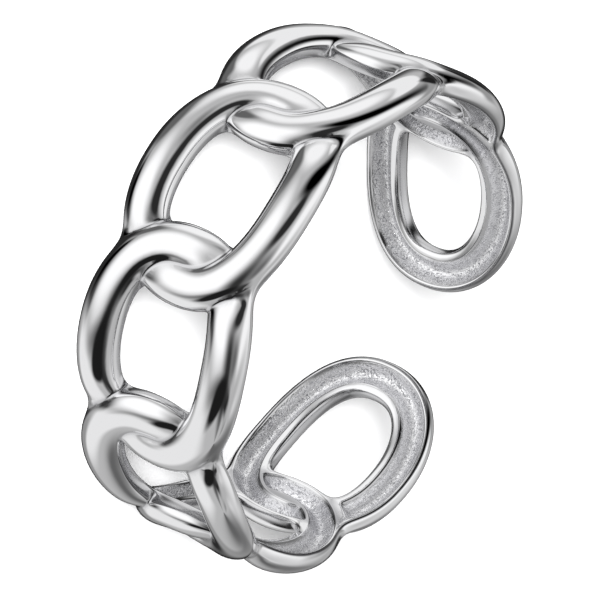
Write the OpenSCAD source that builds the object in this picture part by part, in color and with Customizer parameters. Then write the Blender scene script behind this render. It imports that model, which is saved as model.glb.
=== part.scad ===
// Open finger ring: a band of chain links cast in one piece, with hollow backs.
// Millimetres. The ring lies on its side: its axis is +Z through the origin and the
// rear edges of the links rest on z = 0. The open gap between the end links is at +Y.

/* [Finger hole] */
// Radius of the finger hole, measured to the inner rims of the links
bore_radius = 8.75; // [8.5:0.05:9]

/* [Chain] */
// Angle round the ring from the middle of one link to the middle of the next, in degrees
link_pitch = 40.2; // [39.8:0.1:40.6]
// Half the length of a link, along the ring, to the middle of its wire
link_half_length = 3.88; // [3.82:0.02:3.94]
// Half the width of a link, across the ring, to the middle of its wire
link_half_width = 2.625; // [2.55:0.025:2.7]
// How square the link's oval is: 2 is an ellipse, larger is squarer
link_squareness = 2.23; // [2.15:0.01:2.3]

/* [Wire] */
// Width of the wire that the links are made of
wire_width = 1.65; // [1.6:0.01:1.7]
// Height of the wire's domed top above the finger hole's surface
wire_height = 1; // [0.95:0.01:1.1]
// Height of the side walls below the dome
wall_height = 0.4; // [0.35:0.01:0.45]
// How far each side wall slopes in from its top to the finger hole's surface
wall_draft = 0.08; // [0:0.01:0.1]
// How far a wire rises where it passes over the next one
over_rise = 0.07; // [0:0.01:0.12]
// How far a wire sinks where it passes under the next one
under_dip = 0.38; // [0.3:0.02:0.4]

/* [Hollow backs] */
// Width of the polished rim between a hollow and the outside of its link
rim_width = 0.25; // [0.22:0.01:0.28]
// Width of the polished rim between a hollow and the hole of its link
inner_rim_width = 0.38; // [0.34:0.01:0.4]
// Width of the ridge left between the hollows of two wires that lie side by side
ridge_width = 0.18; // [0.16:0.01:0.22]
// Width of the flat pad that closes a hollow where its wire passes under the next one
pad_width = 0.42; // [0.36:0.02:0.5]
// Depth of the hollow, from the finger hole's surface
hollow_depth = 0.46; // [0.4:0.01:0.5]
// Width of the sloping side of the hollow
hollow_slope = 0.3; // [0.25:0.01:0.35]

/* [Hidden] */
// Links in the chain, and how finely their surfaces are divided
link_count = 8;
link_steps = 44;
dome_steps = 6;
hollow_steps = 23;

// Radius at which lengths along the ring are measured, and the chain's pitch there
mid_radius = bore_radius + wire_height / 2;
pitch_length = link_pitch * PI / 180 * mid_radius;
band_half_width = link_half_width + wire_width / 2;

// Where the middle lines of two neighbouring wires cross, in a link's own plane,
// and the angle round the link's oval at which they do
cross_s = pitch_length / 2;
cross_z = link_half_width
    * pow(1 - pow(cross_s / link_half_length, link_squareness), 1 / link_squareness);
cross_angle = atan2(
    pow(cross_z / link_half_width, link_squareness / 2),
    pow(cross_s / link_half_length, link_squareness / 2)
);

// The walls run this far past the finger hole's surface before it is bored
overrun = 0.3;

// How far a hollow reaches from its wire's middle to the outside of the link, to the
// link's hole, and to the next wire's hollow at the tip of a link
hollow_half = wire_width / 2 - rim_width;
hole_half = wire_width / 2 - inner_rim_width;
tip_half = min(hole_half, link_half_length - pitch_length / 2 - ridge_width / 2);

// Width of the pad that closes a hollow's blunt end, counted as a ridge beside the
// hollow on the far side of a link's wire
pad_gap = pad_width + hollow_half - hole_half;

// Half the width of the wire where its walls end, that far past the finger hole's surface
foot_half = wire_width / 2 - wall_draft * (wall_height + overrun) / wall_height;

// A power that keeps the sign of its base
function sign_pow(v, e) = sign(v) * pow(abs(v), e);

// Middle line of a link at angle t round its oval: s along the ring, z across it
function line_point(t) = [
    link_half_length * sign_pow(cos(t), 2 / link_squareness),
    link_half_width * sign_pow(sin(t), 2 / link_squareness)
];

// Outward direction of the oval at a point of its middle line
function line_normal(p) =
    let (
        e = link_squareness - 1,
        n = [
            sign_pow(p[0] / link_half_length, e) / link_half_length,
            sign_pow(p[1] / link_half_width, e) / link_half_width
        ]
    )
    n / norm(n);

// Size of the oval that runs through a point, where 1 is the middle line
function oval(p) =
    pow(
        pow(abs(p[0] / link_half_length), link_squareness)
            + pow(abs(p[1] / link_half_width), link_squareness),
        1 / link_squareness
    );

// Distance of a point from the middle line of a link
function line_distance(p) =
    let (
        g = oval(p),
        e = link_squareness - 1,
        slope = norm([
            pow(abs(p[0] / link_half_length / g), e) / link_half_length,
            pow(abs(p[1] / link_half_width / g), e) / link_half_width
        ])
    )
    abs(g - 1) / slope;

// 1 at a crossing, falling to nothing away from it
function near_cross(p, c) = exp(-pow(norm(p - c) / (0.62 * wire_width), 2));

// Height that a wire gains where it passes over a neighbour and loses where it
// passes under one; before and after say which neighbours there are
function lift(p, before, after) =
    (after ? over_rise * near_cross(p, [cross_s, -cross_z]) : 0)
    + (before ? over_rise * near_cross(p, [-cross_s, cross_z]) : 0)
    - (after ? under_dip * near_cross(p, [cross_s, cross_z]) : 0)
    - (before ? under_dip * near_cross(p, [-cross_s, -cross_z]) : 0);

// A point of a link's plane wrapped round the ring, y above the finger hole's surface
function wrap(middle, s, z, y) =
    let (a = middle - s / mid_radius * 180 / PI, r = bore_radius + y)
    [r * cos(a), r * sin(a), z + band_half_width];

// Outline of the wire across its width, as [x across, y up]
function wire_outline(top) = concat(
    [[foot_half, -overrun]],
    [for (i = [0:dome_steps])
        [
            wire_width / 2 * cos(i * 180 / dome_steps),
            wall_height + (top - wall_height) * sin(i * 180 / dome_steps)
        ]],
    [[-foot_half, -overrun]]
);

// Outline of a hollow that reaches from lo to hi across the wire
function hollow_outline(lo, hi) =
    let (slope = min(hollow_slope, 0.35 * (hi - lo)))
    [
        [hi, -2 * overrun],
        [hi, 0.06],
        [hi - slope, hollow_depth],
        [lo + slope, hollow_depth],
        [lo, 0.06],
        [lo, -2 * overrun]
    ];

// Faces that join rings of points: closed on themselves, or with two end faces
function ring_faces(rings, sides, closed) = concat(
    [for (i = [0:rings - (closed ? 1 : 2)], j = [0:sides - 1])
        let (
            a = i * sides + j,
            b = i * sides + (j + 1) % sides,
            c = ((i + 1) % rings) * sides + (j + 1) % sides,
            d = ((i + 1) % rings) * sides + j
        )
        each [[a, b, c], [a, c, d]]],
    closed ? [] : [
        [for (j = [sides - 1:-1:0]) j],
        [for (j = [0:sides - 1]) (rings - 1) * sides + j]
    ]
);

// Distance of a point from the middle lines of the wires that pass over this link's
function over_distance(p, before, after) = min(
    after && p[1] > 0 ? line_distance([p[0] - pitch_length, p[1]]) : 99,
    before && p[1] < 0 ? line_distance([p[0] + pitch_length, p[1]]) : 99
);

// How far a hollow reaches on the side where two wires lie together at a link's tip
function inner_half(z) =
    hole_half - (hole_half - tip_half) * max(0, 1 - abs(z) / cross_z);

// True where a hollow may be cut beside the wire that passes over
function is_clear(p, before, after, gap) =
    over_distance(p, before, after) >= inner_half(p[1]) + gap;

// Edge of the hollow between a clear and a shut place across the wire, by halving
function hollow_edge(p, n, clear, shut, before, after, turns) =
    turns == 0 ? clear
    : let (mid = (clear + shut) / 2)
    is_clear(p + n * mid, before, after, ridge_width)
    ? hollow_edge(p, n, mid, shut, before, after, turns - 1)
    : hollow_edge(p, n, clear, mid, before, after, turns - 1);

// Both edges of the hollow, inner then outer, at angle t round the oval
function hollow_span(t, before, after) =
    let (
        p = line_point(t),
        n = line_normal(p),
        out = hollow_half,
        in = (p[0] > 0 ? after : before) ? -inner_half(p[1]) : -hole_half,
        out_clear = is_clear(p + n * out, before, after, ridge_width),
        in_clear = is_clear(p + n * in, before, after, ridge_width)
    )
    out_clear && in_clear ? [in, out]
    : out_clear ? [hollow_edge(p, n, out, in, before, after, 12), out]
    : in_clear ? [in, hollow_edge(p, n, in, out, before, after, 12)]
    : [0, 0];

// True at the angles where a hollow is open: to its point beside the wire that passes
// over it, or to its blunt end on a limb
function is_open(t, blunt) =
    let (p = line_point(t), n = line_normal(p), span = hollow_span(t, true, true))
    blunt
    ? is_clear(p + n * hollow_half, true, true, pad_gap)
        && is_clear(p - n * hole_half, true, true, pad_gap)
    : span[1] - span[0] > 0.3;

// Angle at which a hollow ends, between an open and a shut angle, by halving
function hollow_end(open, shut, blunt, turns) =
    turns == 0 ? open
    : let (mid = (open + shut) / 2)
    is_open(mid, blunt)
    ? hollow_end(mid, shut, blunt, turns - 1)
    : hollow_end(open, mid, blunt, turns - 1);

lens_end = hollow_end(0, cross_angle, false, 14);
limb_end = hollow_end(90, cross_angle, true, 14);

// Wire of one link, its underside left solid and running into the finger hole
module link_wire(middle, before, after) {
    points = [for (i = [0:link_steps - 1])
        let (
            p = line_point(-i * 360 / link_steps),
            n = line_normal(p),
            top = wire_height + lift(p, before, after)
        )
        each [for (q = wire_outline(top))
            wrap(middle, p[0] + n[0] * q[0], p[1] + n[1] * q[0], q[1])]];
    polyhedron(points = points, faces = ring_faces(link_steps, dome_steps + 3, true));
}

// One stretch of a link's hollow back, from angle t0 down to angle t1 round the oval
module hollow_stretch(middle, t0, t1, steps, before, after) {
    points = [for (i = [0:steps])
        let (
            t = t0 + (t1 - t0) * i / steps,
            p = line_point(t),
            n = line_normal(p),
            span = hollow_span(t, before, after)
        )
        each [for (q = hollow_outline(span[0], span[1]))
            wrap(middle, p[0] + n[0] * q[0], p[1] + n[1] * q[0], q[1])]];
    polyhedron(points = points, faces = ring_faces(steps + 1, 6, false));
}

// Hollow back of one link: two stretches between the wires that pass over it,
// or one long stretch round the free end of an end link
module hollow_back(middle, before, after) {
    if (before && after) {
        hollow_stretch(middle, lens_end, limb_end - 180, hollow_steps, true, true);
        hollow_stretch(middle, lens_end - 180, limb_end - 360, hollow_steps, true, true);
    } else {
        start = lens_end - (after ? 0 : 180);
        stop = limb_end - (after ? 360 : 540);
        hollow_stretch(middle, start, stop, 2 * hollow_steps, before, after);
    }
}

// Whole band: the fused wires, less their hollow backs and the finger hole
module chain_band() {
    color([0.82, 0.82, 0.83])
    difference() {
        union() {
            for (k = [0:link_count - 1])
                link_wire(270 + (3.5 - k) * link_pitch, k > 0, k < link_count - 1);
        }
        for (k = [0:link_count - 1])
            hollow_back(270 + (3.5 - k) * link_pitch, k > 0, k < link_count - 1);
        translate([0, 0, -1])
            cylinder(h = 2 * band_half_width + 2, r = bore_radius, $fn = 180);
    }
}

chain_band();
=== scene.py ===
import logging
import math
from dataclasses import dataclass, field, fields
from enum import Enum
from typing import Sequence, Union

import bpy
import numpy as np
from mathutils import Matrix, Vector


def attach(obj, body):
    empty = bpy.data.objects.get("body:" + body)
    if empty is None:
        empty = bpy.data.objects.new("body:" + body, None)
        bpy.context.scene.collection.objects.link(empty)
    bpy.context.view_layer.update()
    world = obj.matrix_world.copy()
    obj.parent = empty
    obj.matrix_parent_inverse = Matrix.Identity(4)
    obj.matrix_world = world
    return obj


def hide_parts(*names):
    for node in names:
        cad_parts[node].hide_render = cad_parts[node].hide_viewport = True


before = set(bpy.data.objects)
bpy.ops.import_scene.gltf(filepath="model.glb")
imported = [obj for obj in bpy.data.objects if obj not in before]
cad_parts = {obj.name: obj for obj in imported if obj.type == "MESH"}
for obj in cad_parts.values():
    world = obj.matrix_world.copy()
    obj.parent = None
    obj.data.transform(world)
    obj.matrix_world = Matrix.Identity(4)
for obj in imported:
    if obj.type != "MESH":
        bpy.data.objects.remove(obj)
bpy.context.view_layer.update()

# An open finger ring of eight fused oval chain links, polished silver outside, grained in its hollow backs.
# The band is worked out flat, as it would lie unrolled, in millimetres: X runs along the chain, Y across it
# and Z is the height above the bore. It is then rolled up round the ring's axis. The ring's front is +Z, and
# its gap faces +Y.

LOG = logging.getLogger("ring")

MM = 0.001  # metres in a millimetre
BIG = 50.0  # a distance in millimetres that lies beyond the whole band
ALL_ROUND = 999.0  # half the width, in degrees, of a card that goes round the whole studio

Range = tuple[float, float]
Triple = tuple[float, float, float]


class Plug(Enum):
    """The kinds of value that a tree takes in or gives out."""

    NUMBER = "NodeSocketFloat"
    VECTOR = "NodeSocketVector"
    GEOMETRY = "NodeSocketGeometry"
    MATERIAL = "NodeSocketMaterial"


class Near(Enum):
    """The links near a point: the one whose stretch it lies in, and those before and after that one."""

    OWN = "own"
    BEFORE = "before"
    AFTER = "after"


class Mark(Enum):
    """What the skin carries for its finish, each from 0 to 1, but for the lane, in millimetres."""

    HOLLOW = "hollow"  # in a hollow back
    CREASE = "crease"  # where two wires meet
    EDGE = "edge"  # at the corner between a rim and its hollow
    LANE = "lane"  # how far outside its link's middle line
    SIDE = "side"  # on the side of a wire in its link's hole
    BED = "bed"  # how far down the slope of a hollow, 1 on its flat bed
    INNER = "inner"  # in the lane of a hollow that is next to the link's hole, clear of crossings
    CROSSING = "crossing"  # where a wire crosses another
    BORDER = "border"  # in the painted dark reflection line round the outside of a hollow


@dataclass(frozen=True)
class Field:
    """A value that a node gives, with sums written as sums."""

    bench: "Bench"
    socket: bpy.types.NodeSocket

    def __add__(self, other: "Value") -> "Field":
        """This value plus another."""
        return self.bench.sum("ADD", self, other)

    def __radd__(self, other: "Value") -> "Field":
        """Another value plus this one."""
        return self.bench.sum("ADD", other, self)

    def __sub__(self, other: "Value") -> "Field":
        """This value less another."""
        return self.bench.sum("SUBTRACT", self, other)

    def __rsub__(self, other: "Value") -> "Field":
        """Another value less this one."""
        return self.bench.sum("SUBTRACT", other, self)

    def __mul__(self, other: "Value") -> "Field":
        """This value times another."""
        return self.bench.sum("MULTIPLY", self, other)

    def __rmul__(self, other: "Value") -> "Field":
        """Another value times this one."""
        return self.bench.sum("MULTIPLY", other, self)

    def __truediv__(self, other: "Value") -> "Field":
        """This value over another."""
        return self.bench.sum("DIVIDE", self, other)

    def __rtruediv__(self, other: "Value") -> "Field":
        """Another value over this one."""
        return self.bench.sum("DIVIDE", other, self)

    def __pow__(self, other: "Value") -> "Field":
        """This value to a power."""
        return self.bench.sum("POWER", self, other)

    def __neg__(self) -> "Field":
        """This value with its sign changed."""
        return self.bench.sum("MULTIPLY", self, -1.0)

    def __gt__(self, other: "Value") -> "Field":
        """1 where this value is the greater, else 0."""
        return self.bench.sum("GREATER_THAN", self, other)

    def __lt__(self, other: "Value") -> "Field":
        """1 where this value is the smaller, else 0."""
        return self.bench.sum("LESS_THAN", self, other)

    def __abs__(self) -> "Field":
        """This value without its sign."""
        return self.bench.sum("ABSOLUTE", self)


Value = Union[Field, float]


class Bench:
    """Lays out the nodes of one tree and joins them."""

    def __init__(self, tree: bpy.types.NodeTree) -> None:
        """Starts on a tree.

        Args:
            tree: The tree to work on.
        """
        self.tree = tree
        self.taken: dict[str, Field] = {}

    def node(self, kind: str, **settings: object) -> bpy.types.Node:
        """Adds a node.

        Args:
            kind: The node's type.
            settings: Its own settings by name.

        Returns:
            The node.
        """
        made = self.tree.nodes.new(kind)
        for name, value in settings.items():
            setattr(made, name, value)
        return made

    def join(self, value: object, socket: bpy.types.NodeSocket) -> None:
        """Feeds a socket.

        Args:
            value: A field, or a plain number, vector, colour or name.
            socket: The socket that takes it.
        """
        if isinstance(value, Field):
            self.tree.links.new(value.socket, socket)
        else:
            socket.default_value = value

    def out(self, node: bpy.types.Node, socket: Union[int, str] = 0) -> Field:
        """One of a node's results as a field."""
        return Field(self, node.outputs[socket])

    def sum(self, operation: str, *values: Value) -> Field:
        """A sum on numbers.

        Args:
            operation: The Math node's operation.
            values: What it works on.

        Returns:
            The result.
        """
        made = self.node("ShaderNodeMath", operation=operation)
        for value, socket in zip(values, made.inputs):
            self.join(value, socket)
        return self.out(made)

    def vector_sum(self, operation: str, *values: object) -> Field:
        """A sum on vectors.

        Args:
            operation: The Vector Math node's operation.
            values: What it works on; the scale of SCALE comes last.

        Returns:
            The result, a number for DOT_PRODUCT.
        """
        made = self.node("ShaderNodeVectorMath", operation=operation)
        sockets = [made.inputs[0], made.inputs["Scale"]] if operation == "SCALE" else list(made.inputs)
        for value, socket in zip(values, sockets):
            self.join(value, socket)
        return self.out(made, "Value" if operation == "DOT_PRODUCT" else "Vector")

    def vector(self, x: Value, y: Value, z: Value) -> Field:
        """Makes one vector of three numbers.

        Args:
            x: Its first number.
            y: Its second number.
            z: Its third number.

        Returns:
            The vector.
        """
        made = self.node("ShaderNodeCombineXYZ")
        for value, socket in zip((x, y, z), made.inputs):
            self.join(value, socket)
        return self.out(made)

    def split(self, vector: Field) -> tuple[Field, Field, Field]:
        """Takes a vector apart.

        Args:
            vector: The vector.

        Returns:
            Its three numbers.
        """
        made = self.node("ShaderNodeSeparateXYZ")
        self.join(vector, made.inputs[0])
        return self.out(made, 0), self.out(made, 1), self.out(made, 2)

    def chosen(self, operation: str, first: Value, *others: Value) -> Field:
        """Picks one of some numbers, two at a time.

        Args:
            operation: The Math node's operation that picks one of two.
            first: The first number.
            others: The rest of them.

        Returns:
            The number that is left.
        """
        for other in others:
            first = self.sum(operation, first, other)
        return first

    def least(self, *values: Value) -> Field:
        """The smallest of some numbers."""
        return self.chosen("MINIMUM", *values)

    def most(self, *values: Value) -> Field:
        """The greatest of some numbers."""
        return self.chosen("MAXIMUM", *values)

    def clamp(self, value: Value, low: Value, high: Value) -> Field:
        """A number kept between two others."""
        return self.least(self.most(value, low), high)

    def root(self, value: Value) -> Field:
        """A square root."""
        return self.sum("SQRT", value)

    def ramp(self, value: Value, start: Value, end: Value, low: Value = 0.0, high: Value = 1.0) -> Field:
        """A number that rises softly.

        Args:
            value: What it follows.
            start: The value up to which it stays low.
            end: The value from which it stays high.
            low: Its lower level.
            high: Its upper level.

        Returns:
            The soft step.
        """
        made = self.node("ShaderNodeMapRange", interpolation_type="SMOOTHSTEP")
        given = {"Value": value, "From Min": start, "From Max": end, "To Min": low, "To Max": high}
        for name, number in given.items():
            self.join(number, made.inputs[name])
        return self.out(made)

    def fall(self, value: Value, start: Value, end: Value) -> Field:
        """A number that falls softly from 1 to 0 as the value it follows goes from start to end."""
        return self.ramp(value, start, end, 1.0, 0.0)

    def place(self, group: bpy.types.NodeTree, **values: object) -> bpy.types.Node:
        """Puts another tree in this one. What both take in under one name is passed on.

        Args:
            group: The tree to put in.
            values: Its other inputs by name, with _ for a space.

        Returns:
            The node that holds it.
        """
        made = self.node("GeometryNodeGroup", node_tree=group)
        given = {name.replace("_", " "): value for name, value in values.items()}
        for socket in made.inputs:
            if socket.name in given:
                self.join(given[socket.name], socket)
            elif socket.name in self.taken:
                self.join(self.taken[socket.name], socket)
        return made


@dataclass(frozen=True)
class BandSizes:
    """The band's sizes in millimetres.

    They are the cast solid's sizes, but for the inner rims and the hollows' slopes, which are a little wider
    here. What rounds the wires' sides and joins, the hollows' corners and the edges is only here.
    """

    bore_radius: float = 8.75
    pitch_angle: float = 40.2  # degrees round the ring from one link to the next
    links: float = 8.0
    half_length: float = 3.88  # of a link's middle line, along the chain
    half_width: float = 2.625  # of a link's middle line, across the chain
    squareness: float = 2.23  # 2 is an ellipse
    wire_width: float = 1.65
    wire_height: float = 1.0
    wall_height: float = 0.4  # of the sides below the dome
    wall_round: float = 0.85  # how far below the dome the sides would meet if they went on curving in
    over_rise: float = 0.07  # of a wire that passes over
    under_dip: float = 0.38  # of a wire that passes under
    crossing_reach: float = 0.62  # of a rise or a dip along its wire, in wire widths
    rim_width: float = 0.25  # outside a link's hollow back
    inner_rim_width: float = 0.43  # between the hollow back and the link's hole
    ridge_width: float = 0.18
    pad_width: float = 0.42
    hollow_depth: float = 0.46
    hollow_slope: float = 0.5
    slope_softness: float = 0.2  # where a slope begins, as a share of the slope
    bed_lean: float = 0.75  # how far off a hollow's bed is, as a share of how far below a point it lies
    hollow_corner: float = 0.14  # the radius of its corners
    fillet: float = 0.16  # where two wires meet
    web: float = 0.95  # how far apart the sides of two wires are where a web begins to join them
    web_inside: float = -0.1  # from a middle line, where a web is at its lowest, inside a link
    web_outside: float = 0.5  # where it is at its highest, in the notches along the band's edges
    web_top_inside: float = 0.45  # height of its top there
    web_top_outside: float = 0.8
    web_fade: float = 0.4  # how far below its top it begins to fade
    edge_round: float = 0.2  # of the rims

    def by_socket_name(self) -> dict[str, float]:
        """The sizes under the names that the trees' inputs have."""
        return {each.name.replace("_", " ").title(): getattr(self, each.name) for each in fields(self)}


@dataclass(frozen=True)
class MarkRanges:
    """Where the marks for the finish start and end, in millimetres."""

    hollow_depth: Range = (0.07, 0.17)  # how deep a hollow is where it turns matte
    hollow_gap: Range = (0.03, 0.09)  # how far above its form a point still belongs to it
    crease: Range = (0.0, 0.16)  # from the farther of two wires
    side_foot: Range = (0.02, 0.1)  # the height at which a wire's side begins
    side_top: Range = (0.38, 0.5)  # and at which it passes into the dome
    side_lane: Range = (-0.1, 0.1)  # outside the link's middle line
    inner_lane: Range = (-0.4, 0.15)  # outside that line too
    crossing: Range = (0.8, 1.5)  # from another link's middle line
    edge: Range = (0.02, 0.1)  # from the corner between a rim and its hollow
    # where the painted dark reflection line round a hollow lies: from the rim's corner, and outside every
    # middle line
    border: Range = (0.03, 0.075)
    border_reflection_lane: Range = (0.3, 0.6)  # outside every middle line


class TreeMaker:
    """Starts trees that take the band's sizes as named inputs."""

    def __init__(self, sizes: BandSizes) -> None:
        """Keeps the sizes.

        Args:
            sizes: The values that the inputs start with.
        """
        self.sizes = sizes.by_socket_name()

    def start(self, name: str, takes: dict[str, Plug], needs: Sequence[str] = ()) -> Bench:
        """Starts a geometry tree.

        Args:
            name: The tree's name.
            takes: Its inputs.
            needs: The band's sizes that it takes besides; all of them if this is empty.

        Returns:
            The bench, with the inputs in taken.
        """
        tree = bpy.data.node_groups.new(name, "GeometryNodeTree")
        for key, plug in takes.items():
            tree.interface.new_socket(name=key, in_out="INPUT", socket_type=plug.value)
        for key in needs or self.sizes:
            socket = tree.interface.new_socket(name=key, in_out="INPUT", socket_type=Plug.NUMBER.value)
            socket.default_value = self.sizes[key]
        bench = Bench(tree)
        entry = bench.node("NodeGroupInput")
        bench.taken = {socket.name: Field(bench, socket) for socket in entry.outputs if socket.name}
        return bench

    @staticmethod
    def end(bench: Bench, gives: dict[str, tuple[Plug, Field]]) -> bpy.types.NodeTree:
        """Closes a tree.

        Args:
            bench: The tree's bench.
            gives: Its outputs by name, each with its kind and its value.

        Returns:
            The finished tree.
        """
        for key, (plug, _) in gives.items():
            bench.tree.interface.new_socket(name=key, in_out="OUTPUT", socket_type=plug.value)
        close = bench.node("NodeGroupOutput")
        for key, (_, value) in gives.items():
            bench.join(value, close.inputs[key])
        return bench.tree


@dataclass(frozen=True)
class ChainLines:
    """Lengths of the chain that follow from its sizes, as fields of one tree."""

    middle_radius: Field
    pitch: Field
    cross_along: Field
    cross_across: Field
    half_band: Field

    @staticmethod
    def on(bench: Bench) -> "ChainLines":
        """Works them out.

        Args:
            bench: The bench of a tree that takes all the band's sizes.

        Returns:
            The lengths.
        """
        take = bench.taken
        middle = take["Bore Radius"] + take["Wire Height"] * 0.5
        pitch = bench.sum("RADIANS", take["Pitch Angle"]) * middle
        along = pitch * 0.5
        power = take["Squareness"]
        across = take["Half Width"] * (1.0 - (along / take["Half Length"]) ** power) ** (1.0 / power)
        return ChainLines(middle, pitch, along, across, take["Half Width"] + take["Wire Width"] * 0.5)


@dataclass(frozen=True)
class Spot:
    """Where a point lies on the flat band, as fields of one tree."""

    across: Field
    height: Field
    own: Field  # its place along its own link
    there: dict[Near, Value]  # 1 for each link near it that exists
    body: dict[Near, Field]  # how far it lies outside each of their wires
    distance: dict[Near, Field]  # and outside their middle lines


class BandShape:
    """The trees that say how far a point of the flat band lies from its surface."""

    def __init__(self, maker: TreeMaker, ranges: MarkRanges) -> None:
        """Builds the trees, each from those before it.

        Args:
            maker: Starts and ends them.
            ranges: Where the marks for the finish start and end.
        """
        self.maker = maker
        self.ranges = ranges
        self.line = self.link_line()
        self.wire = self.wire_body()
        self.room = self.hollow_room()
        self.surface = self.band_surface()
        self.slope = self.band_slope()
        self.settle = self.settle_on_band()
        self.roll = self.roll_up()
        self.unroll = self.lay_flat()

    def link_line(self) -> bpy.types.NodeTree:
        """Builds the tree for a link's oval middle line.

        Returns:
            A tree that gives how far a point lies outside the line, and the line's nearest point.
        """
        bench = self.maker.start("Link middle line", {"Along": Plug.NUMBER, "Across": Plug.NUMBER}, (
            "Half Length", "Half Width", "Squareness"))
        take = bench.taken
        half = {"Along": take["Half Length"], "Across": take["Half Width"]}
        power = take["Squareness"]
        least_reach = 0.0001  # keeps the sums sound in the middle of the link
        share = {key: abs(take[key]) / half[key] for key in half}
        reach = bench.most((share["Along"] ** power + share["Across"] ** power) ** (1.0 / power), least_reach)
        lean = {key: (share[key] / reach) ** (power - 1.0) / half[key] for key in half}
        steepness = bench.root(lean["Along"] * lean["Along"] + lean["Across"] * lean["Across"])
        distance = (reach - 1.0) / steepness
        back = distance / steepness
        foot = {key: take[key] - back * lean[key] * bench.sum("SIGN", take[key]) for key in half}
        return self.maker.end(bench, {
            "Distance": (Plug.NUMBER, distance),
            "Foot Along": (Plug.NUMBER, foot["Along"]),
            "Foot Across": (Plug.NUMBER, foot["Across"]),
        })

    @staticmethod
    def nearness(bench: Bench, along: Value, across: Value, reach: Value) -> Field:
        """Says how near the foot of a point lies to a crossing.

        Args:
            bench: The bench of a tree that takes the foot.
            along: The crossing's place along the link.
            across: Its place across the link.
            reach: How far from it the result fades to a third.

        Returns:
            1 on the crossing, fading to 0.
        """
        off = bench.taken["Foot Along"] - along
        side = bench.taken["Foot Across"] - across
        return bench.sum("EXPONENT", -((off * off + side * side) / (reach * reach)))

    def wire_body(self) -> bpy.types.NodeTree:
        """Builds the tree for a link's wire, a bar with a domed top and sides that curve in a little.

        Returns:
            A tree that gives how far a point lies outside the wire.
        """
        names = ("Distance", "Foot Along", "Foot Across", "Height", "Before", "After", "Cross Along",
                 "Cross Across")
        bench = self.maker.start("Wire body", {name: Plug.NUMBER for name in names}, (
            "Wire Width", "Wire Height", "Wall Height", "Wall Round", "Over Rise", "Under Dip",
            "Crossing Reach"))
        take = bench.taken
        least_dome = 0.05
        least_share = 0.3  # keeps the sums sound near the wire's middle
        fade = take["Wire Width"] * take["Crossing Reach"]
        along, across = take["Cross Along"], take["Cross Across"]
        over = (take["After"] * self.nearness(bench, along, -across, fade)
                + take["Before"] * self.nearness(bench, -along, across, fade))
        under = (take["After"] * self.nearness(bench, along, across, fade)
                 + take["Before"] * self.nearness(bench, -along, -across, fade))
        top = take["Wire Height"] + take["Over Rise"] * over - take["Under Dip"] * under
        half = take["Wire Width"] * 0.5
        dome = bench.most(top - take["Wall Height"], least_dome)
        rise = take["Height"] - take["Wall Height"]
        above = rise > 0.0
        tall = take["Wall Round"] + (dome - take["Wall Round"]) * above
        aside, up = take["Distance"] / half, rise / tall
        radius = bench.most(bench.root(aside * aside + up * up), least_share)
        steep_aside, steep_up = aside / half, up / tall
        steepness = bench.most(
            bench.root(steep_aside * steep_aside + steep_up * steep_up) / radius, least_share)
        return self.maker.end(bench, {"Depth": (Plug.NUMBER, (radius - 1.0) / steepness)})

    def hollow_room(self) -> bpy.types.NodeTree:
        """Builds the tree for the room in a link's wire that its hollow back takes up.

        Returns:
            A tree that gives how far a point lies inside the rims, and how far the room reaches on each side.
        """
        names = ("Distance", "Across", "Joined", "Cross Along", "Cross Across")
        bench = self.maker.start("Hollow room", {name: Plug.NUMBER for name in names}, (
            "Wire Width", "Rim Width", "Inner Rim Width", "Half Length", "Ridge Width"))
        take = bench.taken
        half = take["Wire Width"] * 0.5 - take["Rim Width"]
        widest = take["Wire Width"] * 0.5 - take["Inner Rim Width"]
        tip = bench.least(widest, take["Half Length"] - take["Cross Along"] - take["Ridge Width"] * 0.5)
        near_tip = bench.most(1.0 - abs(take["Across"]) / take["Cross Across"], 0.0)
        inner = widest - (widest - tip) * near_tip
        used = widest - (widest - inner) * take["Joined"]
        room = bench.least(half - take["Distance"], take["Distance"] + used)
        return self.maker.end(bench, {
            "Room": (Plug.NUMBER, room),
            "Half": (Plug.NUMBER, half),
            "Inner Half": (Plug.NUMBER, inner),
        })

    def spot(self, bench: Bench, chain: ChainLines) -> Spot:
        """Finds where the point that a tree takes lies among the links.

        Args:
            bench: The bench of the band's surface.
            chain: The chain's lengths.

        Returns:
            The spot.
        """
        along, across, height = bench.split(bench.taken["Point"])
        last = bench.taken["Links"] - 1.0
        place = bench.clamp(bench.sum("ROUND", along / chain.pitch + last * 0.5), 0.0, last)
        own = along - (place - last * 0.5) * chain.pitch
        before, after = place > 0.5, place < last - 0.5
        shift = {Near.OWN: own, Near.BEFORE: own + chain.pitch, Near.AFTER: own - chain.pitch}
        joins = {
            Near.OWN: (before, after),
            Near.BEFORE: (place > 1.5, 1.0),
            Near.AFTER: (1.0, place < last - 1.5),
        }
        there = {Near.OWN: 1.0, Near.BEFORE: before, Near.AFTER: after}
        body: dict[Near, Field] = {}
        distance: dict[Near, Field] = {}
        for link, offset in shift.items():
            line = bench.place(self.line, Along=offset, Across=across)
            wire = bench.place(
                self.wire, Distance=bench.out(line, "Distance"), Foot_Along=bench.out(line, "Foot Along"),
                Foot_Across=bench.out(line, "Foot Across"), Height=height, Before=joins[link][0],
                After=joins[link][1], Cross_Along=chain.cross_along, Cross_Across=chain.cross_across)
            missing = 0.0 if link is Near.OWN else (1.0 - there[link]) * BIG
            body[link] = bench.out(wire) + missing
            distance[link] = bench.out(line, "Distance") + missing
        return Spot(across, height, own, there, body, distance)

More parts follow.
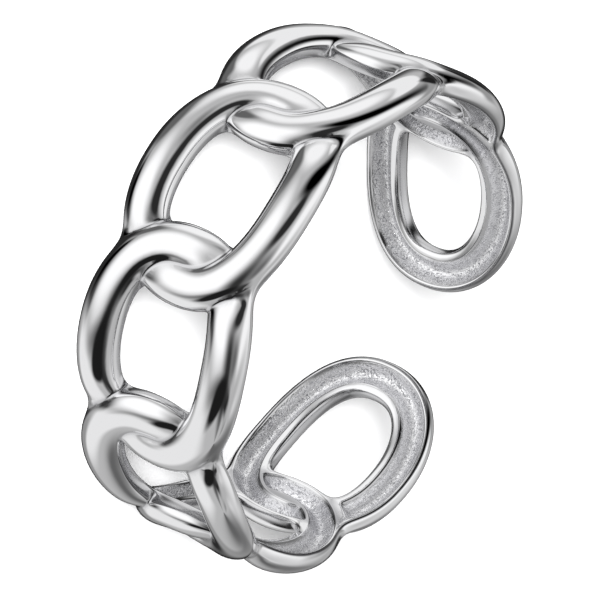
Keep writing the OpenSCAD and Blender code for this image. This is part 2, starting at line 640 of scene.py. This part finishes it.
    def band_surface(self) -> bpy.types.NodeTree:
        """Builds the tree for the whole band.

        Returns:
            A tree that gives how far a point lies outside the band, and the marks for the finish there.
        """
        bench = self.maker.start("Band surface", {"Point": Plug.VECTOR})
        take, chain, ranges = bench.taken, ChainLines.on(bench), self.ranges
        spot = self.spot(bench, chain)
        lane, height = spot.distance[Near.OWN], spot.height
        near = bench.least(spot.body[Near.BEFORE], spot.body[Near.AFTER])
        far = bench.most(spot.body[Near.BEFORE], spot.body[Near.AFTER])
        beside = bench.least(lane, bench.least(spot.distance[Near.BEFORE], spot.distance[Near.AFTER]))
        web_top = bench.ramp(
            beside, take["Web Inside"], take["Web Outside"], take["Web Top Inside"], take["Web Top Outside"])
        web_share = bench.fall(height, web_top - take["Web Fade"], web_top)
        blend = take["Fillet"] + (take["Web"] - take["Fillet"]) * web_share
        metal = bench.sum("SMOOTH_MIN", spot.body[Near.OWN], near, blend)
        metal = bench.sum("SMOOTH_MIN", metal, far, take["Fillet"])
        room = self.hollow_margin(bench, chain, spot)
        slope = bench.sum("SMOOTH_MAX", room / take["Hollow Slope"], 0.0, take["Slope Softness"])
        full = bench.least(slope, 1.0)
        depth = take["Hollow Depth"] * bench.sum("SINE", full * (math.pi / 2))
        cut = (depth - height) * take["Bed Lean"]
        corner = bench.most(abs(metal), abs(cut))
        crossing = bench.least(abs(spot.distance[Near.BEFORE]), abs(spot.distance[Near.AFTER]))
        deep = bench.ramp(depth, *ranges.hollow_depth)
        side = bench.ramp(height, *ranges.side_foot) * bench.fall(height, *ranges.side_top)
        marks = {
            Mark.HOLLOW: deep * bench.fall(height - depth, *ranges.hollow_gap),
            Mark.CREASE: bench.fall(bench.most(spot.body[Near.OWN], near), *ranges.crease),
            Mark.EDGE: bench.fall(corner, *ranges.edge),
            Mark.LANE: lane,
            Mark.SIDE: side * bench.fall(lane, *ranges.side_lane),
            Mark.BED: full,
            Mark.INNER: bench.fall(lane, *ranges.inner_lane) * bench.ramp(crossing, *ranges.crossing),
            Mark.CROSSING: bench.fall(crossing, *ranges.crossing),
            # the painted dark reflection line, along the corner of a hollow's outer rim
            Mark.BORDER: bench.fall(corner, *ranges.border) * bench.ramp(beside, *ranges.border_reflection_lane),
        }
        return self.maker.end(bench, {
            "Distance": (Plug.NUMBER, bench.sum("SMOOTH_MAX", metal, cut, take["Edge Round"])),
            **{mark.value: (Plug.NUMBER, value) for mark, value in marks.items()},
        })

    def hollow_margin(self, bench: Bench, chain: ChainLines, spot: Spot) -> Field:
        """Says how far a point lies inside the hollow backs of the links near it.

        Args:
            bench: The bench of the band's surface.
            chain: The chain's lengths.
            spot: Where the point lies.

        Returns:
            The margin, below 0 on rims, ridges and pads.
        """
        take = bench.taken
        front = spot.across > 0.0
        rear = 1.0 - front
        ahead = spot.own > 0.0
        joined = ahead * spot.there[Near.AFTER] + (1.0 - ahead) * spot.there[Near.BEFORE]
        rooms = {
            link: bench.place(
                self.room, Distance=distance, Across=spot.across, Cross_Along=chain.cross_along,
                Cross_Across=chain.cross_across, Joined=joined if link is Near.OWN else 1.0)
            for link, distance in spot.distance.items()
        }
        half, inner = bench.out(rooms[Near.OWN], "Half"), bench.out(rooms[Near.OWN], "Inner Half")

        def clear_of(link: Near, gap: Field, side: Field) -> Field:
            """How far clear of a link's hollow a point lies, counted on the side where that link is over."""
            return abs(spot.distance[link]) - gap + (1.0 - side) * BIG

        def within(first: Field, second: Field) -> Field:
            """Joins two margins.

            Args:
                first: One margin.
                second: The other.

            Returns:
                The smaller of them, with its corners rounded.
            """
            radius = take["Hollow Corner"]
            short, narrow = bench.most(radius - first, 0.0), bench.most(radius - second, 0.0)
            rounded = radius - bench.root(short * short + narrow * narrow)
            return rounded + bench.most(bench.least(first, second) - radius, 0.0)

        pad, ridge = half + take["Pad Width"], inner + take["Ridge Width"]
        margin = {link: bench.out(node) for link, node in rooms.items()}
        own = within(margin[Near.OWN], clear_of(Near.AFTER, pad, front))
        return bench.most(
            within(own, clear_of(Near.BEFORE, pad, rear)),
            within(margin[Near.AFTER], clear_of(Near.OWN, ridge, rear)),
            within(margin[Near.BEFORE], clear_of(Near.OWN, ridge, front)),
        )

    def band_slope(self) -> bpy.types.NodeTree:
        """Builds the tree for the slope of the band's distance.

        Returns:
            A tree that gives the distance at a point, the way in which it grows, and the marks.
        """
        bench = self.maker.start("Band slope", {"Point": Plug.VECTOR})
        step = 0.004  # millimetres to each side of the point
        here = bench.place(self.surface)
        rises = []
        for axis in range(3):
            ends = []
            for sign in (1.0, -1.0):
                offset = [0.0, 0.0, 0.0]
                offset[axis] = sign * step
                point = bench.vector_sum("ADD", bench.taken["Point"], offset)
                ends.append(bench.out(bench.place(self.surface, Point=point), "Distance"))
            rises.append((ends[0] - ends[1]) / (2.0 * step))
        return self.maker.end(bench, {
            "Distance": (Plug.NUMBER, bench.out(here, "Distance")),
            "Slope": (Plug.VECTOR, bench.vector(*rises)),
            **{mark.value: (Plug.NUMBER, bench.out(here, mark.value)) for mark in Mark},
        })

    def settle_on_band(self) -> bpy.types.NodeTree:
        """Builds the tree that brings a point near the band's surface onto it.

        Returns:
            A tree that gives the moved point.
        """
        bench = self.maker.start("Settle on band", {"Point": Plug.VECTOR})
        farthest = 0.05  # millimetres
        least_steepness = 0.05  # squared; keeps the move short where the distance hardly changes
        node = bench.place(self.slope)
        slope = bench.out(node, "Slope")
        squared = bench.most(bench.vector_sum("DOT_PRODUCT", slope, slope), least_steepness)
        step = bench.clamp(bench.out(node, "Distance") / squared, -farthest, farthest)
        moved = bench.vector_sum("SUBTRACT", bench.taken["Point"], bench.vector_sum("SCALE", slope, step))
        return self.maker.end(bench, {"Point": (Plug.VECTOR, moved)})

    def roll_up(self) -> bpy.types.NodeTree:
        """Builds the tree that rolls the band up.

        Returns:
            A tree that takes a point of the flat band, in millimetres, to its place on the ring, in metres.
        """
        bench = self.maker.start("Roll up", {"Point": Plug.VECTOR})
        chain = ChainLines.on(bench)
        along, across, height = bench.split(bench.taken["Point"])
        angle = -math.pi / 2 - along / chain.middle_radius
        radius = height + bench.taken["Bore Radius"]
        x, y = radius * bench.sum("COSINE", angle), radius * bench.sum("SINE", angle)
        point = bench.vector(x, y, across + chain.half_band)
        return self.maker.end(bench, {"Point": (Plug.VECTOR, bench.vector_sum("SCALE", point, MM))})

    def lay_flat(self) -> bpy.types.NodeTree:
        """Builds the tree that lays the band flat again.

        Returns:
            A tree that takes a point of the ring, in metres, to its place on the flat band, in millimetres.
        """
        bench = self.maker.start("Lay flat", {"Point": Plug.VECTOR})
        chain = ChainLines.on(bench)
        x, y, z = bench.split(bench.vector_sum("SCALE", bench.taken["Point"], 1.0 / MM))
        angle = bench.sum("ARCTAN2", -x, -y)
        height = bench.root(x * x + y * y) - bench.taken["Bore Radius"]
        point = bench.vector(angle * chain.middle_radius, z - chain.half_band, height)
        return self.maker.end(bench, {"Point": (Plug.VECTOR, point)})


@dataclass
class ChainBand:
    """The cast band of eight links as one skin."""

    sizes: BandSizes
    ranges: MarkRanges
    finish: "PolishedSilver"
    grid_step: float = 0.045  # millimetres between the points at which the band's distance is read
    quick_grid_step: float = 0.1
    grid_spare: float = 0.3  # millimetres of grid round the band
    most_triangles: int = 190000
    settling_passes: int = 2

    def build(self) -> bpy.types.Object:
        """Makes the band's mesh and dresses it.

        Returns:
            The finished object.
        """
        maker = TreeMaker(self.sizes)
        shape = BandShape(maker, self.ranges)
        step = self.grid_step
        wax = bpy.data.meshes.new("chain_band_wax")
        rough = self.run_tree(self.casting_tree(maker, shape), wax, {"Grid Step": step})
        count = sum(len(face.vertices) - 2 for face in rough.polygons)
        skin = self.run_tree(
            self.polishing_tree(maker, shape), rough, {"Finish": self.finish.material()},
            thin_to=min(1.0, self.most_triangles / count))
        self.true_normals(skin)
        made = bpy.data.objects.new("silver_chain_band", skin)
        bpy.context.scene.collection.objects.link(made)
        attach(made, "root")
        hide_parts("chain_band")
        return made

    def run_tree(self, tree: bpy.types.NodeTree, mesh: bpy.types.Mesh, inputs: dict[str, object],
                 thin_to: float = 1.0) -> bpy.types.Mesh:
        """Runs a tree on a mesh.

        Args:
            tree: The tree.
            mesh: What it starts from.
            inputs: Values of its inputs besides the band's sizes, by name.
            thin_to: The share of the triangles that is kept before the tree runs.

        Returns:
            The result as a plain mesh.
        """
        holder = bpy.data.objects.new("chain_band_work", mesh)
        bpy.context.scene.collection.objects.link(holder)
        if thin_to < 1.0:
            holder.modifiers.new("thin out", "DECIMATE").ratio = thin_to
        modifier = holder.modifiers.new(tree.name, "NODES")
        modifier.node_group = tree
        names = {item.name: item.identifier for item in tree.interface.items_tree if item.in_out == "INPUT"}
        for name, value in {**self.sizes.by_socket_name(), **inputs}.items():
            if name in names:
                modifier[names[name]] = value
        view = bpy.context.evaluated_depsgraph_get()
        result = bpy.data.meshes.new_from_object(
            holder.evaluated_get(view), preserve_all_data_layers=True, depsgraph=view)
        holder.modifiers.clear()
        bpy.data.objects.remove(holder)
        return result

    def settled(self, bench: Bench, shape: BandShape, geometry: Field, rolled: bool) -> Field:
        """Moves a mesh's points onto the band's surface.

        Args:
            bench: The tree's bench.
            shape: The band's trees.
            geometry: The mesh.
            rolled: Whether the mesh is already rolled up.

        Returns:
            The moved mesh.
        """
        for _ in range(self.settling_passes):
            point = bench.out(bench.node("GeometryNodeInputPosition"))
            if rolled:
                point = bench.out(bench.place(shape.unroll, Point=point))
            point = bench.out(bench.place(shape.settle, Point=point))
            if rolled:
                point = bench.out(bench.place(shape.roll, Point=point))
            geometry = self.moved(bench, geometry, point)
        return geometry

    @staticmethod
    def moved(bench: Bench, geometry: Field, point: Field) -> Field:
        """Puts a mesh's points in new places.

        Args:
            bench: The tree's bench.
            geometry: The mesh.
            point: The new place of each point.

        Returns:
            The moved mesh.
        """
        node = bench.node("GeometryNodeSetPosition")
        bench.join(geometry, node.inputs["Geometry"])
        bench.join(point, node.inputs["Position"])
        return bench.out(node)

    def casting_tree(self, maker: TreeMaker, shape: BandShape) -> bpy.types.NodeTree:
        """Builds the tree that reads the band's distance on a grid, skins it and rolls it up.

        Args:
            maker: Starts and ends the tree.
            shape: The band's trees.

        Returns:
            The tree.
        """
        bench = maker.start("Chain band casting", {"Grid Step": Plug.NUMBER})
        take, chain = bench.taken, ChainLines.on(bench)
        spare = self.grid_spare
        skin_level = 0.5  # what the grid holds at the band's surface; inside it holds more
        last_middle = chain.pitch * (take["Links"] - 1.0) * 0.5
        ends = last_middle + take["Half Length"] + take["Wire Width"] * 0.5 + spare
        sides = chain.half_band + spare
        low, high = -spare, take["Wire Height"] + spare
        point = bench.out(bench.node("GeometryNodeInputPosition"))
        distance = bench.out(bench.place(shape.surface, Point=point), "Distance")
        grid = bench.node("GeometryNodeVolumeCube")
        bench.join(skin_level - bench.clamp(distance, -spare, spare), grid.inputs["Density"])
        bench.join(skin_level - spare, grid.inputs["Background"])
        bench.join(bench.vector(-ends, -sides, low), grid.inputs["Min"])
        bench.join(bench.vector(ends, sides, high), grid.inputs["Max"])
        for name, length in (("X", ends * 2.0), ("Y", sides * 2.0), ("Z", high - low)):
            bench.join(length / take["Grid Step"], grid.inputs[f"Resolution {name}"])
        skin = bench.node("GeometryNodeVolumeToMesh", resolution_mode="GRID")
        bench.join(bench.out(grid), skin.inputs["Volume"])
        bench.join(skin_level, skin.inputs["Threshold"])
        geometry = self.settled(bench, shape, bench.out(skin), rolled=False)
        place = bench.out(bench.node("GeometryNodeInputPosition"))
        geometry = self.moved(bench, geometry, bench.out(bench.place(shape.roll, Point=place)))
        flip = bench.node("GeometryNodeFlipFaces")  # rolling up turns the flat band's faces inwards
        bench.join(geometry, flip.inputs["Mesh"])
        real = bench.node("GeometryNodeRealizeInstances")
        bench.join(bench.out(flip), real.inputs["Geometry"])
        return maker.end(bench, {"Geometry": (Plug.GEOMETRY, bench.out(real))})

    def polishing_tree(self, maker: TreeMaker, shape: BandShape) -> bpy.types.NodeTree:
        """Builds the tree that trues the thinned skin, and stores the marks and the way each point faces.

        Args:
            maker: Starts and ends the tree.
            shape: The band's trees.

        Returns:
            The tree.
        """
        bench = maker.start("Chain band polishing", {"Geometry": Plug.GEOMETRY, "Finish": Plug.MATERIAL})
        chain = ChainLines.on(bench)
        geometry = self.settled(bench, shape, bench.taken["Geometry"], rolled=True)
        place = bench.out(bench.node("GeometryNodeInputPosition"))
        flat = bench.out(bench.place(shape.unroll, Point=place))
        node = bench.place(shape.slope, Point=flat)
        along, across, up = bench.split(bench.out(node, "Slope"))
        x, y, _ = bench.split(place)
        radius = bench.root(x * x + y * y)
        out_x, out_y = x / radius, y / radius
        turn = along * chain.middle_radius * MM / radius
        facing = bench.vector_sum(
            "NORMALIZE", bench.vector(up * out_x + turn * out_y, up * out_y - turn * out_x, across))
        marks = {"facing": facing, **{mark.value: bench.out(node, mark.value) for mark in Mark}}
        for name, value in marks.items():
            kind = "FLOAT_VECTOR" if name == "facing" else "FLOAT"
            store = bench.node("GeometryNodeStoreNamedAttribute", domain="POINT", data_type=kind)
            bench.join(geometry, store.inputs["Geometry"])
            bench.join(name, store.inputs["Name"])
            bench.join(value, store.inputs["Value"])
            geometry = bench.out(store)
        real = bench.node("GeometryNodeRealizeInstances")
        bench.join(geometry, real.inputs["Geometry"])
        dress = bench.node("GeometryNodeSetMaterial")
        bench.join(bench.out(real), dress.inputs["Geometry"])
        bench.join(bench.taken["Finish"], dress.inputs["Material"])
        return maker.end(bench, {"Geometry": (Plug.GEOMETRY, bench.out(dress))})

    @staticmethod
    def true_normals(mesh: bpy.types.Mesh) -> None:
        """Gives each point the exact way it faces, so that reflections run smoothly.

        Args:
            mesh: The band's skin, with its facing attribute.
        """
        facing = np.empty(len(mesh.vertices) * 3, np.float32)
        mesh.attributes["facing"].data.foreach_get("vector", facing)
        mesh.polygons.foreach_set("use_smooth", np.ones(len(mesh.polygons), bool))
        mesh.normals_split_custom_set_from_vertices(facing.reshape(-1, 3).tolist())
        mesh.attributes.remove(mesh.attributes["facing"])
        mesh.update()


@dataclass(frozen=True)
class PolishedSilver:
    """Bright silver: mirror-like outside, matte, grained and scratched in the hollow backs.

    It is rougher in the creases and on the sides in the links' holes, and painted shade darkens its colour
    there;
    painted shade also darkens the slopes of the hollows, a painted dark reflection lines the outside of each
    hollow, and next to the links' holes the weaker grain leaves the hollows' colour lighter as a painted
    highlight. Sizes are in millimetres, and a share says how far a colour goes over to the darker one.
    """

    name: str = "polished silver"
    bright: Triple = (0.93, 0.93, 0.94)
    matte: Triple = (0.96, 0.96, 0.97)
    # grey of the grain's specks and scratches, and also of the painted shade in the creases, on the sides in
    # the links' holes and on the hollows' slopes
    dull: Triple = (0.30, 0.30, 0.32)
    # painted dark reflection, in the line round each hollow
    dark: Triple = (0.06, 0.06, 0.07)
    speck_share: float = 0.4
    slope_shade_share: float = 0.3  # painted shade on the slopes of a hollow
    # painted shade in the creases where two wires meet
    crease_shade_share: float = 0.55
    # painted shade on the wires' sides in the links' holes
    side_shade_share: float = 0.4
    border_reflection_share: float = 0.95  # of dark in the painted dark reflection line round a hollow
    mirror_roughness: float = 0.03
    cloud_roughness: float = 0.02  # added in cloudy patches
    crease_roughness: float = 0.08  # added in the creases
    side_roughness: float = 0.16  # added on the sides in the links' holes
    grain_roughness: float = 0.24
    roughness_spread: float = 0.4  # between the grain's low and high spots
    grain_size: float = 0.09
    grain_depth: float = 0.03
    grain_levels: Range = (0.43, 0.53)  # of the pattern, from dull specks to clear metal
    grain_low: float = 0.1  # how clear the specks are
    stroke_length: float = 0.3  # of the fine strokes that run along a hollow
    stroke_levels: Range = (0.42, 0.52)  # of their pattern, from dull to clear
    stroke_low: float = 0.4  # how clear the dull ones are
    scratch_size: float = 0.14  # of the curly scratches' bends
    scratch_depth: float = 0.5  # as a share of the grain's
    scratch_levels: Range = (0.01, 0.07)  # of the pattern, from a scratch's middle to its side
    scratch_patches: Range = (0.48, 0.54)  # of the strokes, from where there are none to where all show
    slope_shade_levels: Range = (0.45, 0.95)  # of the bed mark, over which the painted shade on a hollow's slopes fades out
    inner_calm_and_highlight: float = 0.55  # by how much the grain is weaker next to the links' holes; the lighter colour this leaves there is a painted highlight
    scatter: float = 0.1  # the share of the light that the grain throws back every way
    more_scatter: float = 0.13  # added next to the links' holes and at the crossings
    cloud_scale: float = 1.6  # patches to a millimetre
    ripple_scale: float = 5.0  # ripples to a millimetre in the polish outside
    ripple_depth: float = 0.0002

    def material(self) -> bpy.types.Material:
        """Builds the material.

        Returns:
            The material, which reads the marks that the band carries.
        """
        made = bpy.data.materials.new(self.name)
        made.use_nodes = True
        made.node_tree.nodes.clear()
        bench = Bench(made.node_tree)
        shader = bench.node("ShaderNodeBsdfPrincipled")
        output = bench.node("ShaderNodeOutputMaterial")
        bench.tree.links.new(shader.outputs[0], output.inputs["Surface"])
        where = bench.vector_sum("SCALE", bench.out(bench.node("ShaderNodeTexCoord"), "Object"), 1.0 / MM)
        hollow, crease, edge, lane, side, bed, inner, crossing, border = (
            bench.out(bench.node("ShaderNodeAttribute", attribute_name=mark.value), "Fac") for mark in Mark)
        grain = self.noise(bench, where, 1.0 / self.grain_size, 2.0)
        beside = lane / self.grain_size
        lanes = bench.vector_sum("SCALE", where, 1.0 / self.stroke_length)
        lanes = bench.vector_sum("ADD", lanes, bench.vector(beside, 0.0, beside))
        strokes = self.noise(bench, lanes, 1.0, 2.0)
        cloud = self.noise(bench, where, self.cloud_scale, 2.0)
        curls = self.noise(bench, where, 1.0 / self.scratch_size, 1.0)
        ripple = self.noise(bench, where, self.ripple_scale, 4.0)
        speckle = (bench.ramp(grain, *self.grain_levels, self.grain_low)
                   * bench.ramp(strokes, *self.stroke_levels, self.stroke_low))
        scratches = (bench.fall(abs(curls - 0.5), *self.scratch_levels)
                     * bench.ramp(strokes, *self.scratch_patches))
        # next to the links' holes the grain is weaker, and the colour it leaves lighter there is a painted
        # highlight
        outer = 1.0 - self.inner_calm_and_highlight * inner
        worn = bench.most((1.0 - speckle) * self.speck_share, scratches) * outer
        # painted shade: darker up a hollow's slopes, none on its flat bed
        slope = bench.fall(bed, *self.slope_shade_levels)
        base = self.blend(bench, hollow, self.bright, self.matte)
        base = self.blend(bench, hollow * worn, base, self.dull)
        # painted shade on the hollows' slopes
        base = self.blend(bench, hollow * slope * self.slope_shade_share, base, self.dull)
        # painted shade: the colour darkens in the creases, but not at a rim's corner
        base = self.blend(bench, crease * self.crease_shade_share * (1.0 - edge), base, self.dull)
        # painted shade on the wires' sides in the links' holes
        base = self.blend(bench, side * self.side_shade_share, base, self.dull)
        # painted dark reflection: a thin dark line round the outside of each hollow
        base = self.blend(bench, border * self.border_reflection_share, base, self.dark)
        bench.join(base, shader.inputs["Base Color"])
        scattered = self.scatter + self.more_scatter * bench.most(inner, crossing)
        bench.join(1.0 - hollow * scattered, shader.inputs["Metallic"])
        smooth = (self.mirror_roughness + self.cloud_roughness * cloud + self.crease_roughness * crease
                  + self.side_roughness * side)
        rough = self.grain_roughness + self.roughness_spread * (grain - 0.5) * outer
        bench.join(smooth + (rough - smooth) * hollow, shader.inputs["Roughness"])
        bump = bench.node("ShaderNodeBump")
        bump.inputs["Strength"].default_value = 1.0
        bump.inputs["Distance"].default_value = MM
        grained = hollow * self.grain_depth * (outer * (grain + strokes) - self.scratch_depth * scratches)
        bench.join(grained + (1.0 - hollow) * self.ripple_depth * ripple, bump.inputs["Height"])
        bench.tree.links.new(bump.outputs[0], shader.inputs["Normal"])
        return made

    @staticmethod
    def noise(bench: Bench, where: Field, scale: float, detail: float) -> Field:
        """Adds a cloudy pattern.

        Args:
            bench: The material's bench.
            where: The place at which it is read.
            scale: How many clouds there are to a length of 1.
            detail: How many times finer clouds are laid over them.

        Returns:
            The pattern, from 0 to 1.
        """
        made = bench.node("ShaderNodeTexNoise")
        bench.join(where, made.inputs["Vector"])
        made.inputs["Scale"].default_value = scale
        made.inputs["Detail"].default_value = detail
        return bench.out(made, 0)

    @staticmethod
    def blend(bench: Bench, amount: Field, first: Union[Field, Triple], second: Triple) -> Field:
        """Passes from one colour to another.

        Args:
            bench: The material's bench.
            amount: 0 for the first colour, 1 for the second.
            first: The first colour.
            second: The second colour.

        Returns:
            The colour between them.
        """
        made = bench.node("ShaderNodeMix", data_type="RGBA")
        colours = [socket for socket in made.inputs if socket.type == "RGBA"]
        bench.join(amount, made.inputs[0])
        for colour, socket in zip((first, second), colours):
            bench.join(colour if isinstance(colour, Field) else (*colour, 1.0), socket)
        return Field(bench, next(socket for socket in made.outputs if socket.type == "RGBA"))


@dataclass(frozen=True)
class WhitePaper:
    """The plain white sweep that the ring lies on."""

    name: str = "white paper"
    colour: Triple = (0.9, 0.9, 0.905)
    roughness: float = 0.45

    def material(self) -> bpy.types.Material:
        """Builds the material.

        Returns:
            The material.
        """
        made = bpy.data.materials.new(self.name)
        made.use_nodes = True
        shader = next(node for node in made.node_tree.nodes if node.type == "BSDF_PRINCIPLED")
        shader.inputs["Base Color"].default_value = (*self.colour, 1.0)
        shader.inputs["Roughness"].default_value = self.roughness
        return made


@dataclass(frozen=True)
class Card:
    """A soft oval of light or dark round the studio, in degrees as the camera sees it.

    Azimuth 0 lies behind the camera, 90 to the picture's right; elevation 90 is towards the picture's top.
    """

    azimuth: float
    elevation: float
    half_wide: float
    half_high: float
    lean: float  # how far its right end is raised
    brightness: float
    softness: float  # of its border, as a share of its size


@dataclass
class Studio:
    """The floor, the light and the camera. Places are in metres."""

    paper: WhitePaper = field(default_factory=WhitePaper)
    floor_half: float = 0.6
    level: float = 0.62  # brightness all round where no card is
    # each card covers those before it: azimuth, elevation, half wide, half high, lean, brightness, softness
    cards: tuple[Card, ...] = (
        Card(0.0, 90.0, ALL_ROUND, 22.0, 0.0, 1.2, 0.4),
        Card(-130.0, 48.0, 50.0, 12.0, 15.0, 0.16, 0.3),
        Card(-145.0, 15.0, 45.0, 32.0, -15.0, 0.03, 0.3),
        Card(-125.0, -2.0, 55.0, 14.0, 20.0, 0.08, 0.4),
        Card(-112.0, -32.0, 28.0, 38.0, 45.0, 1.05, 0.3),
        Card(-50.0, 17.0, 36.0, 36.0, 0.0, 1.35, 0.35),
        Card(-105.0, 24.0, 10.0, 17.0, -10.0, 0.0, 0.45),
        Card(-178.0, -24.0, 60.0, 14.0, 20.0, 0.38, 0.3),
        Card(-5.0, -50.0, 70.0, 9.0, -20.0, 0.02, 0.5),
        Card(-16.0, -35.0, 18.0, 48.0, 0.0, 0.04, 0.75),
        Card(-42.0, -43.0, 32.0, 12.0, 0.0, 0.015, 0.25),
        Card(14.0, 17.0, 27.0, 14.0, 20.0, 0.03, 0.4),
        Card(46.0, 38.0, 45.0, 13.0, -10.0, 0.0, 0.4),
        Card(88.0, 32.0, 55.0, 13.0, -10.0, 0.0, 0.9),
        Card(80.0, -18.0, 47.0, 35.0, 0.0, 1.2, 0.25),
        Card(55.0, -50.0, 43.0, 16.0, 40.0, 0.58, 0.8),
        Card(132.0, 16.0, 8.0, 28.0, -25.0, 0.4, 0.5),
        Card(163.0, 16.0, 27.0, 9.0, -55.0, 0.04, 0.3),
        Card(143.0, 54.0, 55.0, 10.0, 0.0, 1.1, 0.2),
        Card(153.0, -77.0, 37.0, 60.0, 45.0, 0.16, 0.8),
        Card(10.0, -28.0, 14.0, 17.0, -5.0, 0.18, 0.8),
        Card(176.0, -1.0, 30.0, 21.0, 0.0, 0.03, 0.25),
        Card(143.0, 29.0, 8.0, 16.0, 24.0, 0.02, 0.3),
    )
    lamp_place: Triple = (-0.0432, -0.268, 0.1309)  # a little above the camera, as the picture shows it
    lamp_size: float = 0.1
    lamp_power: float = 4.0  # watts
    camera_place: Triple = (-0.00872582, -0.12185286, 0.06635539)
    camera_right: Triple = (-0.37049, 0.44810, 0.81360)
    camera_up: Triple = (-0.92659, -0.11736, -0.35730)
    lens: float = 225.49  # millimetres
    sensor: float = 36.0  # its width in millimetres
    sight: Range = (0.01, 10.0)  # what lies nearer or farther isn't drawn

    def build(self) -> None:
        """Makes the floor, the light and the camera."""
        self.make_floor()
        self.make_light()
        self.make_lamp()
        self.make_camera()

    def camera_axes(self) -> tuple[Vector, Vector, Vector]:
        """Trues the camera's directions.

        Returns:
            The picture's right, its up and the way from the ring back to the camera, square to each other.
        """
        right = Vector(self.camera_right).normalized()
        back = right.cross(Vector(self.camera_up)).normalized()
        return right, back.cross(right), back

    def make_floor(self) -> None:
        """Lays the paper under the ring, out of the metal's sight, where cards take its place."""
        half = self.floor_half
        corners = [(-half, -half, 0.0), (half, -half, 0.0), (half, half, 0.0), (-half, half, 0.0)]
        mesh = bpy.data.meshes.new("floor")
        mesh.from_pydata(corners, [], [(0, 1, 2, 3)])
        mesh.materials.append(self.paper.material())
        floor = bpy.data.objects.new("floor", mesh)
        bpy.context.scene.collection.objects.link(floor)
        floor.visible_glossy = False

    def make_light(self) -> None:
        """Hangs the cards of light and dark round the ring."""
        world = bpy.data.worlds.new("studio")
        world.use_nodes = True
        world.node_tree.nodes.clear()
        bpy.context.scene.world = world
        bench = Bench(world.node_tree)
        way = bench.vector_sum("NORMALIZE", bench.out(bench.node("ShaderNodeTexCoord"), "Generated"))
        aside, above, behind = (
            bench.vector_sum("DOT_PRODUCT", way, tuple(axis)) for axis in self.camera_axes())
        azimuth = bench.sum("DEGREES", bench.sum("ARCTAN2", aside, behind))
        elevation = bench.sum("DEGREES", bench.sum("ARCSINE", above))
        light: Value = self.level
        for card in self.cards:
            across = bench.sum("WRAP", azimuth - card.azimuth, 180.0, -180.0)
            up = elevation - card.elevation
            cosine, sine = math.cos(math.radians(card.lean)), math.sin(math.radians(card.lean))
            along = (across * cosine + up * sine) / card.half_wide
            over = (up * cosine - across * sine) / card.half_high
            off = bench.root(along * along + over * over)
            inside = bench.fall(off, 1.0 - card.softness, 1.0 + card.softness)
            light = light + (card.brightness - light) * inside
        background = bench.node("ShaderNodeBackground")
        output = bench.node("ShaderNodeOutputWorld")
        bench.join(light, background.inputs["Strength"])
        bench.tree.links.new(background.outputs[0], output.inputs["Surface"])

    def make_lamp(self) -> None:
        """Hangs the soft lamp that whitens the paper and throws shadows, out of the metal's sight."""
        data = bpy.data.lights.new("lamp", "AREA")
        data.shape = "DISK"
        data.size = self.lamp_size
        data.energy = self.lamp_power
        lamp = bpy.data.objects.new("lamp", data)
        bpy.context.scene.collection.objects.link(lamp)
        place = Vector(self.lamp_place)
        lamp.matrix_world = Matrix.Translation(place) @ place.to_track_quat("Z", "Y").to_matrix().to_4x4()
        lamp.visible_glossy = False

    def make_camera(self) -> None:
        """Sets up the camera at the photograph's angle, turned as it was."""
        data = bpy.data.cameras.new("camera")
        data.lens = self.lens
        data.sensor_width = self.sensor
        data.clip_start, data.clip_end = self.sight
        camera = bpy.data.objects.new("camera", data)
        bpy.context.scene.collection.objects.link(camera)
        turn = Matrix(self.camera_axes()).transposed().to_4x4()
        camera.matrix_world = Matrix.Translation(self.camera_place) @ turn
        bpy.context.scene.camera = camera
        bpy.context.scene.view_settings.view_transform = "Standard"


def main() -> None:
    """Builds the ring and its studio."""
    logging.basicConfig(level=logging.INFO, format="%(name)s: %(message)s")
    made = ChainBand(BandSizes(), MarkRanges(), PolishedSilver()).build()
    LOG.info("%s: %d vertices, %d faces", made.name, len(made.data.vertices), len(made.data.polygons))
    Studio().build()
    LOG.info("studio: floor, light and camera")


if __name__ == "__main__":
    main()
